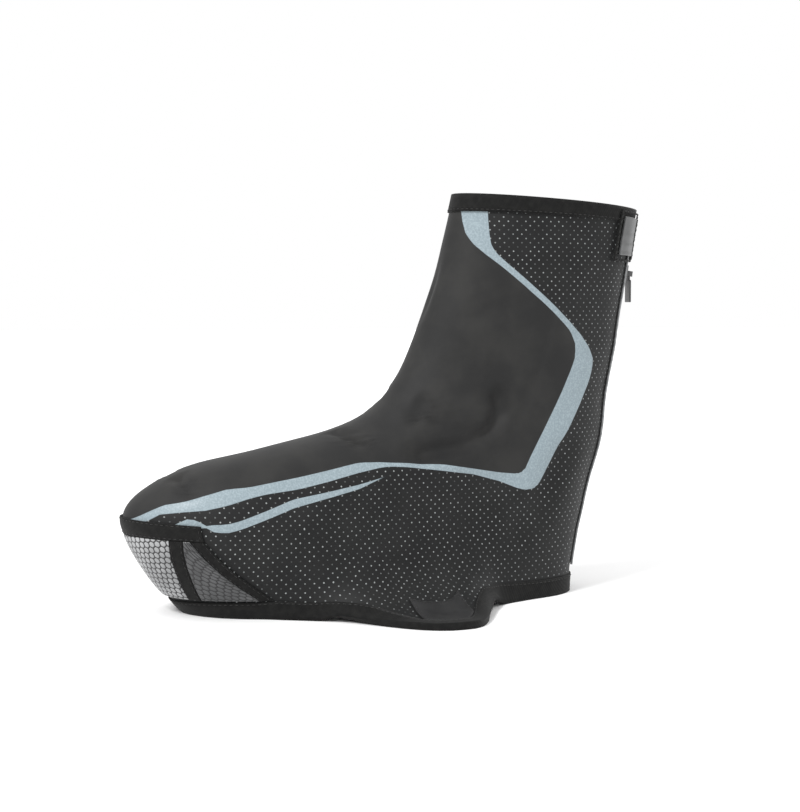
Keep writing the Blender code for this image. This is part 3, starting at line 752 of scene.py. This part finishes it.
flatY, flatZ = clothCoordinates(restPoints)
sideView = np.stack([restPoints[:, 1], restPoints[:, 2]], axis=1) * 1000
fields = {name: -outlineDistance(outline, sideView) for name, outline in (
    ("mainPanel", mainEdge), ("sidePanel", sideEdge), ("above", aboveEdge),
    ("below", belowEdge))}
clothUv = smooth.loops.layers.uv.new("cloth")
for face in smooth.faces:
    for loop in face.loops:
        index = loop.vert.index
        loop[clothUv].uv = (flatY[index], flatZ[index])
for name, values in fields.items():
    layer = smooth.verts.layers.float.new(name)
    for vert in smooth.verts:
        vert[layer] = float(values[vert.index])
finishPiece("shell", smooth, shellCloth, "cover", ["upper"], sharp=70)


# Bindings

def dressBinding(name, node):
    made = smoothed(cageOf(node, 0))
    for vert in made.verts:
        vert.co += shiftAt(vert.co)
        vert.co.z = max(vert.co.z, 0.0)
    made.normal_update()
    finishPiece(name, made, tapeCloth, "cover", [node], sharp=75)


dressBinding("hemTape", "hem_binding")
dressBinding("collarTape", "collar_binding")


# Flat pieces sewn on the wall

def cubicRead(rows, places):
    # reads rows of values between their whole numbers along a smooth curve
    count = len(rows)
    cell = np.clip(np.floor(places).astype(int), 0, count - 2)
    share = (places - cell).reshape(-1, *([1] * (rows.ndim - 1)))
    before = rows[np.maximum(cell - 1, 0)]
    here = rows[cell]
    after = rows[cell + 1]
    beyond = rows[np.minimum(cell + 2, count - 1)]
    before = np.where((cell > 0).reshape(share.shape), before, 2 * here - after)
    beyond = np.where((cell + 2 < count).reshape(share.shape), beyond, 2 * after - here)
    return here + share * 0.5 * (after - before + share * (
        2 * before - 5 * here + 4 * after - beyond + share * (
            3 * (here - after) + beyond - before)))


def sheetFaces(made, thin):
    # the layer of faces on the side away from the wall
    wide = [face for face in made.faces
            if min(edge.calc_length() for edge in face.edges) > thin]

    def facesOut(layer):
        return np.mean([face.normal.dot(wallTree.find_nearest(face.calc_center_median())[1])
                        for face in layer])

    return max(connected(wide)[:2], key=facesOut)


def readSheet(node, thickness):
    # the corner places of a sheet's outer face
    thin = thickness * 1.1
    made = cageOf(node, thin)
    made.faces.index_update()
    points = gridOf(made, sheetFaces(made, thin))
    made.free()
    for i, j in np.argwhere(np.isnan(points[..., 0])):
        around = points[i - 1:i + 2, j - 1:j + 2].reshape(-1, 3)
        points[i, j] = np.nanmean(around, axis=0)
    return points


def sampleSheet(points, across, upward):
    # the same face with that many cells across and up
    columns = cubicRead(points, np.linspace(0, len(points) - 1, across + 1))
    rows = cubicRead(columns.swapaxes(0, 1), np.linspace(0, points.shape[1] - 1, upward + 1))
    return rows.swapaxes(0, 1)


def clothLengths(points):
    # lengths across from the middle column and up from the lowest row
    across = np.linalg.norm(np.diff(points, axis=0), axis=-1)
    run = np.concatenate([np.zeros((1, points.shape[1])), np.cumsum(across, axis=0)])
    run -= run[len(run) // 2]
    upward = np.linalg.norm(np.diff(points, axis=1), axis=-1)
    rise = np.concatenate([np.zeros((points.shape[0], 1)), np.cumsum(upward, axis=1)], axis=1)
    return run, rise


def gridPiece(points, thickness, bevel, relief=None, keep=None):
    # a sheet of that thickness whose outer face is the grid of points, pushed out by the relief
    across, upward = points.shape[0] - 1, points.shape[1] - 1
    made = bmesh.new()
    bmesh.ops.create_grid(made, x_segments=across, y_segments=upward, size=0.5)
    uv = made.loops.layers.uv.new("cloth")
    emboss = made.verts.layers.float.new("emboss")
    run, rise = clothLengths(points)
    places = {}
    for vert in made.verts:
        places[vert] = (round((vert.co.x + 0.5) * across), round((vert.co.y + 0.5) * upward))
    for vert, at in places.items():
        vert.co = points[at]
    for face in made.faces:
        for loop in face.loops:
            at = places[loop.vert]
            loop[uv].uv = (run[at], rise[at])
    if keep is not None:
        gone = [face for face in made.faces if not keep(
            np.mean([places[v][0] for v in face.verts]) / across,
            np.mean([places[v][1] for v in face.verts]) / upward)]
        bmesh.ops.delete(made, geom=gone, context="FACES")
    made.normal_update()
    top = list(made.verts)
    facing = {vert: vert.normal.copy() for vert in top}
    rim = [edge for edge in made.edges if edge.is_boundary]
    bmesh.ops.solidify(made, geom=made.faces[:], thickness=thickness)
    if relief is not None:
        for vert in top:
            lift = relief(run[places[vert]], rise[places[vert]], places[vert][0] / across,
                          places[vert][1] / upward)
            vert.co += facing[vert] * lift[0]
            vert[emboss] = lift[1]
    rim = [edge for edge in rim if edge.is_valid]
    bmesh.ops.bevel(made, geom=rim, offset=bevel, segments=2, profile=0.5,
                    affect="EDGES", material=-1)
    for vert in made.verts:
        vert.co += shiftAt(vert.co)
        vert.co.z = max(vert.co.z, 0.0)
    return made


scaleLook = {"cell": 0.0041, "depth": 0.00060, "groove": 0.22, "calm": 0.03, "mean": 0.8,
             "tilt": 0.5}


def scaleRelief(along, up, shareAcross, shareUp):
    # raised six-sided scales with a slight tilt and grooves between: the lift and its share
    cell = scaleLook["cell"]
    tall = cell * 3 ** 0.5
    best = None
    for half in (0.0, 0.5):
        x = (along / cell + half) % 1 - 0.5
        y = (up / tall + half) % 1 - 0.5
        distance = max(abs(x), abs(x) * 0.5 + abs(y) * 3 ** 0.5 * 0.8660254)
        if best is None or distance < best[0]:
            best = (distance, y)
    edge = min(max((0.5 - best[0]) / scaleLook["groove"], 0.0), 1.0)
    rise = edge * edge * (3 - 2 * edge)
    border = min(shareAcross, 1 - shareAcross, shareUp, 1 - shareUp)
    calm = min(border / scaleLook["calm"], 1.0)
    lift = scaleLook["depth"] * rise * calm * (scaleLook["mean"] - scaleLook["tilt"] * best[1])
    return lift, rise


sheets = {}
for node, material, slot, thickness, step, bevel in (
        # node, material, slot, then thickness, cell and rounding in metres
        ("toe_front_panel", highlitFrontPanel, "coated_panel", 0.0008, 0.00048, 0.0002),
        ("toe_side_panel_outer", coatedSide, "coated_panel", 0.0008, 0.00048, 0.0002),
        ("toe_side_panel_inner", coatedSide, "coated_panel", 0.0008, 0.00048, 0.0002),
        ("toe_front_tape_outer", tapeCloth, "binding_tape", 0.0008, 0.0016, 0.0002),
        ("toe_front_tape_inner", tapeCloth, "binding_tape", 0.0008, 0.0016, 0.0002),
        ("toe_rear_tape_outer", tapeCloth, "binding_tape", 0.0008, 0.0016, 0.0002),
        ("toe_rear_tape_inner", tapeCloth, "binding_tape", 0.0008, 0.0016, 0.0002),
        ("toe_top_band", tapeCloth, "binding_tape", 0.0008, 0.0016, 0.0002),
        ("flap_patch_outer", plainPatch, "plain_patch", 0.0008, 0.0016, 0.00025),
        ("flap_hook_inner", loopCloth, "fastener_tape", 0.0006, 0.0016, 0.00025),
        ("zip_tape_outer", zipTape, "zip_tape", 0.0008, 0.0016, 0.00025),
        ("zip_tape_inner", zipTape, "zip_tape", 0.0008, 0.0016, 0.00025),
        ("collar_strap", strapWebbing, "strap_webbing", 0.0016, 0.0012, 0.00025),
        ("strap_patch_field", greyField, "grey_field", 0.0011, 0.0010, 0.00025),
        ("loop_patch", loopCloth, "fastener_tape", 0.0008, 0.0010, 0.00025)):
    points = readSheet(node, thickness)
    run, rise = clothLengths(points)
    wide = np.ptp(run, axis=0).max()
    sheets[node] = sampleSheet(points, round(wide / step), round(rise.max() / step))
    made = gridPiece(sheets[node], thickness, bevel,
                     relief=scaleRelief if slot == "coated_panel" else None)
    finishPiece(node.replace("_", "-"), made, material, "cover", [node], sharp=60)

frameLook = {"across": 27, "up": 37, "border": 4, "thickness": 0.0008, "bevel": 0.00025}


def onFrame(across, up):
    # whether a place lies on the patch's border, from its shares across and up
    wide = frameLook["border"] / frameLook["across"]
    high = frameLook["border"] / frameLook["up"]
    return min(across / wide, (1 - across) / wide, up / high, (1 - up) / high) < 1


sheets["strap_patch_frame"] = sampleSheet(
    readSheet("strap_patch_frame", frameLook["thickness"]), frameLook["across"], frameLook["up"])
made = gridPiece(sheets["strap_patch_frame"], frameLook["thickness"], frameLook["bevel"],
                 keep=onFrame)
finishPiece("strap-patch-frame", made, tapeCloth, "cover",
            ["strap_patch_frame"], sharp=60)


# Stitches

stitchLook = {"length": 0.0023, "pitch": 0.0034, "width": 0.00042, "height": 0.00030,
              "raise": 0.3}
lineSteps = 40


def placesAlong(points, pitch):
    # places and directions at an even pitch along a line of points
    gaps = np.linalg.norm(np.diff(points, axis=0), axis=1)
    run = np.concatenate([[0], np.cumsum(gaps)])
    at = np.arange(pitch / 2, run[-1], pitch)

    def readAt(lengths):
        return np.stack([np.interp(lengths, run, points[:, k]) for k in range(3)], axis=1)

    return readAt(at), readAt(at + pitch / 3) - readAt(at - pitch / 3)


def sew(name, lines):
    # one piece of many short stitches, each line given with its outward directions
    look = stitchLook
    made = bmesh.new()
    for points, normals in lines:
        places, directions = placesAlong(points, look["pitch"])
        given = np.linspace(0, 1, len(normals))
        wanted = np.linspace(0, 1, len(places))
        facing = np.stack([np.interp(wanted, given, normals[:, k]) for k in range(3)], axis=1)
        for place, direction, out in zip(places, directions, facing):
            forward = Vector(direction).normalized()
            up = Vector(out)
            up = (up - forward * up.dot(forward)).normalized()
            side = up.cross(forward)
            turn = Matrix((forward, side, up)).transposed().to_4x4()
            size = Matrix.Diagonal((look["length"] / 2, look["width"] / 2, look["height"], 1))
            place = Vector(place) + up * look["height"] * look["raise"]
            place.z = max(place.z, look["height"])
            bmesh.ops.create_icosphere(made, subdivisions=1, radius=1.0,
                                       matrix=Matrix.Translation(place) @ turn @ size)
    finishPiece(name, made, blackThread, "cover")


def sheetLine(points, start, end):
    # a line over a sheet's outer face between two places given by shares across and up
    across, upward = points.shape[0] - 1, points.shape[1] - 1
    places = []
    facing = []
    for share in np.linspace(0, 1, lineSteps):
        shareAcross = start[0] + (end[0] - start[0]) * share
        shareUp = start[1] + (end[1] - start[1]) * share
        i = min(int(shareAcross * across), across - 1)
        j = min(int(shareUp * upward), upward - 1)
        s = shareAcross * across - i
        t = shareUp * upward - j
        corner = points[i:i + 2, j:j + 2]
        flat = (corner[0, 0] * (1 - s) * (1 - t) + corner[1, 0] * s * (1 - t)
                + corner[0, 1] * (1 - s) * t + corner[1, 1] * s * t)
        normal = np.cross(corner[1, 0] - corner[0, 0], corner[0, 1] - corner[0, 0])
        places.append(flat + np.array(shiftAt(flat)))
        facing.append(normal / np.linalg.norm(normal))
    return np.array(places), np.array(facing)


def insetLines(points, inset, sides):
    # lines a short way in from a sheet's left, right, bottom and top edges
    run, rise = clothLengths(points)
    a = inset / np.ptp(run, axis=0).mean()
    b = inset / rise[:, -1].mean()
    ends = {"l": ((a, b), (a, 1 - b)), "r": ((1 - a, b), (1 - a, 1 - b)),
            "b": ((a, b), (1 - a, b)), "t": ((a, 1 - b), (1 - a, 1 - b))}
    return [sheetLine(points, *ends[side]) for side in sides]


for name, inset, sides, slot in (
        ("toe_front_tape_outer", 0.0011, "lr", "binding_tape"),
        ("toe_front_tape_inner", 0.0011, "lr", "binding_tape"),
        ("toe_rear_tape_outer", 0.0011, "lr", "binding_tape"),
        ("toe_rear_tape_inner", 0.0011, "lr", "binding_tape"),
        ("toe_top_band", 0.0011, "lrbt", "binding_tape"),
        ("flap_patch_outer", 0.0012, "lrt", "plain_patch"),
        ("flap_hook_inner", 0.0012, "lrt", "fastener_tape"),
        ("zip_tape_outer", 0.0010, "lrb", "zip_tape"),
        ("zip_tape_inner", 0.0010, "lrb", "zip_tape"),
        ("collar_strap", 0.0016, "lrbt", "strap_webbing"),
        ("strap_patch_frame", 0.0013, "lrbt", "binding_tape"),
        ("strap_patch_frame", 0.0031, "lrbt", "binding_tape"),
        ("loop_patch", 0.0014, "lrbt", "fastener_tape")):
    # the frame has a second line of stitches further in
    second = "-in" if inset > 0.003 else ""
    sew(name.replace("_", "-") + "-stitches" + second,
        insetLines(sheets[name], inset, sides))


bindingLook = {
    # metres: how far from the middle and how far back the line may start, how level it runs
    "middle": 0.02, "back": 0.09, "near": 0.0035, "level": 0.004, "inset": 0.0014,
    # least cosine between one edge and the next, corners of a full round, places per corner
    "straight": 0.6, "round": 50, "dense": 4}


def edgeLoop(start, first):
    # follows the mesh's edges straight on from a corner point
    line = [start]
    here = first
    while here not in line:
        line.append(here)
        heading = (here.co - line[-2].co).normalized()
        options = [edge.other_vert(here) for edge in here.link_edges]
        options = [vert for vert in options if vert is not line[-2]]
        best = max(options, key=lambda vert: (vert.co - here.co).normalized().dot(heading))
        if (best.co - here.co).normalized().dot(heading) < bindingLook["straight"]:
            return line
        here = best
    if here is line[0]:
        line.append(here)
    return line


def bindingLine(node, low):
    # the line of a binding's own edge on the outer side, moved in towards its fold
    look = bindingLook
    made = cageOf(node, 0)
    front = [vert for vert in made.verts
             if abs(vert.co.x) < look["middle"] and vert.co.y < look["back"]]
    limit = (min if low else max)(vert.co.z for vert in front)
    near = [vert for vert in front if abs(vert.co.z - limit) < look["near"]]
    start = min(near, key=lambda vert: (round(vert.co.y, 4), vert.co.x))
    paths = []
    for edge in start.link_edges:
        other = edge.other_vert(start)
        if abs(other.co.z - start.co.z) < look["level"] and edge.calc_length() > look["level"]:
            paths.append(edgeLoop(start, other))
    lines = []
    for path in paths[:1] if len(paths[0]) > look["round"] else paths:
        places = []
        facing = []
        for vert in path:
            inward = max((edge.other_vert(vert) for edge in vert.link_edges
                          if edge.other_vert(vert) not in path),
                         key=lambda other: (other.co - vert.co).length)
            step = (inward.co - vert.co).normalized() * look["inset"]
            places.append((vert.co + step + shiftAt(vert.co))[:])
            facing.append(vert.normal[:])
        at = np.linspace(0, len(path) - 1, len(path) * look["dense"])
        lines.append((cubicRead(np.array(places), at), cubicRead(np.array(facing), at)))
    made.free()
    return lines


sew("hem-tape-stitches", bindingLine("hem_binding", False))
sew("collar-tape-stitches", bindingLine("collar_binding", True))


# Piping beside the zip, a thin light cord on each tape's outer edge

pipeLook = {"radius": 0.0006, "resolution": 3, "lift": 0.0001}
for side in ("outer", "inner"):
    dense = sheets["zip_tape_" + side]
    edge = 1.0 if abs(dense[-1, 0, 0]) > abs(dense[0, 0, 0]) else 0.0
    places, facing = sheetLine(dense, (edge, 0.0), (edge, 1.0))
    spine = bpy.data.curves.new("zip-piping-" + side, "CURVE")
    spine.dimensions = "3D"
    spine.bevel_depth = pipeLook["radius"]
    spine.bevel_resolution = pipeLook["resolution"]
    spine.use_fill_caps = True
    line = spine.splines.new("POLY")
    line.points.add(len(places) - 1)
    for point, place, out in zip(line.points, places, facing):
        point.co = (*(place + out * pipeLook["lift"]), 1.0)
    holder = bpy.data.objects.new("piping", spine)
    scene.collection.objects.link(holder)
    bpy.context.view_layer.update()
    made = bmesh.new()
    made.from_mesh(bpy.data.meshes.new_from_object(holder))
    bpy.data.objects.remove(holder)
    finishPiece("zip-piping-" + side, made, greyPipe, "cover")


# Zip teeth, small ribs across the coil's outer face

teethLook = {"low": 0.016, "high": 0.196, "pitch": 0.0017, "length": 0.0022, "width": 0.0008,
             "height": 0.0004, "aside": 0.0012, "behind": 0.4}
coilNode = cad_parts["zip_coil"]
coilPlace = coilNode.matrix_world
coilTree = BVHTree.FromPolygons([coilPlace @ vert.co for vert in coilNode.data.vertices],
                                [tuple(face.vertices) for face in coilNode.data.polygons])
made = bmesh.new()
for level in np.arange(teethLook["low"], teethLook["high"], teethLook["pitch"]):
    for aside in (-teethLook["aside"], teethLook["aside"]):
        shift = teethLook["pitch"] / 2 if aside > 0 else 0.0
        hit = coilTree.ray_cast(Vector((aside, teethLook["behind"], level + shift)),
                                Vector((0, -1, 0)))
        if hit[0] is None:
            continue
        size = Matrix.Diagonal((teethLook["length"] / 2, teethLook["height"],
                                teethLook["width"] / 2, 1))
        bmesh.ops.create_icosphere(made, subdivisions=1, radius=1.0,
                                   matrix=Matrix.Translation(hit[0]) @ size)
finishPiece("zip-teeth", made, zipCoil, "cover")


# The metal parts, the coil and its stop keep their CAD shapes

for node, material in (("zip_slider", blackMetal), ("zip_pull", blackMetal),
                       ("zip_coil", zipCoil), ("zip_stop", zipCoil)):
    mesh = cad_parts[node].data
    mesh.materials.clear()
    mesh.materials.append(material)


# Floor, light and camera

stageLook = {"floor": (0.90, 0.90, 0.90), "world": 1.0, "reach": 14.0}


def paintFloor(start):
    return {"Base Color": start.noise(3.0).ramp(0.2, 0.8).mix(
        stageLook["floor"], tuple(value * 1.01 for value in stageLook["floor"])),
        "Roughness": 0.8 + start.noise(5.0) * 0.05}


made = bmesh.new()
bmesh.ops.create_grid(made, x_segments=2, y_segments=2, size=stageLook["reach"])
mesh = bpy.data.meshes.new("floor")
made.to_mesh(mesh)
made.free()
mesh.materials.append(newMaterial("paleFloor", {}, paintFloor))
floor = bpy.data.objects.new("floor", mesh)
scene.collection.objects.link(floor)

world = bpy.data.worlds.new("studio")
world.use_nodes = True
world.node_tree.nodes["Background"].inputs["Color"].default_value = (1.0, 1.0, 1.0, 1.0)
world.node_tree.nodes["Background"].inputs["Strength"].default_value = stageLook["world"]
scene.world = world
scene.view_settings.view_transform = "Standard"

lamps = {
    # where it shines from, its angle across in degrees, its strength
    "keySun": ((0.55, -1.05, 1.35), 16.0, 2.3),
    "rimSun": ((-0.5, 1.2, 0.9), 30.0, 0.9),
}
for name, (place, spread, strength) in lamps.items():
    lamp = bpy.data.lights.new(name, "SUN")
    lamp.angle = radians(spread)
    lamp.energy = strength
    holder = bpy.data.objects.new(name, lamp)
    holder.rotation_euler = (-Vector(place)).to_track_quat("-Z", "Y").to_euler()
    scene.collection.objects.link(holder)

cameraLook = {
    # metres, degrees and, for the focal length, pixels of the 812 that the picture is high
    "eye": (0.9399, -0.3684, 0.1832), "azimuth": 68.34, "pitch": 3.4, "focal": 1587.0,
    "tall": 812.0, "near": 0.05}


def makeCamera(look):
    turn = radians(look["azimuth"])
    fall = radians(look["pitch"])
    view = Vector((-sin(turn) * cos(fall), cos(turn) * cos(fall), -sin(fall)))
    data = bpy.data.cameras.new("camera")
    data.lens = look["focal"] * data.sensor_width / look["tall"]
    data.clip_start = look["near"]
    camera = bpy.data.objects.new("camera", data)
    camera.location = look["eye"]
    camera.rotation_euler = view.to_track_quat("-Z", "Y").to_euler()
    scene.collection.objects.link(camera)
    return camera


scene.camera = makeCamera(cameraLook)
print("floor, light and camera made")
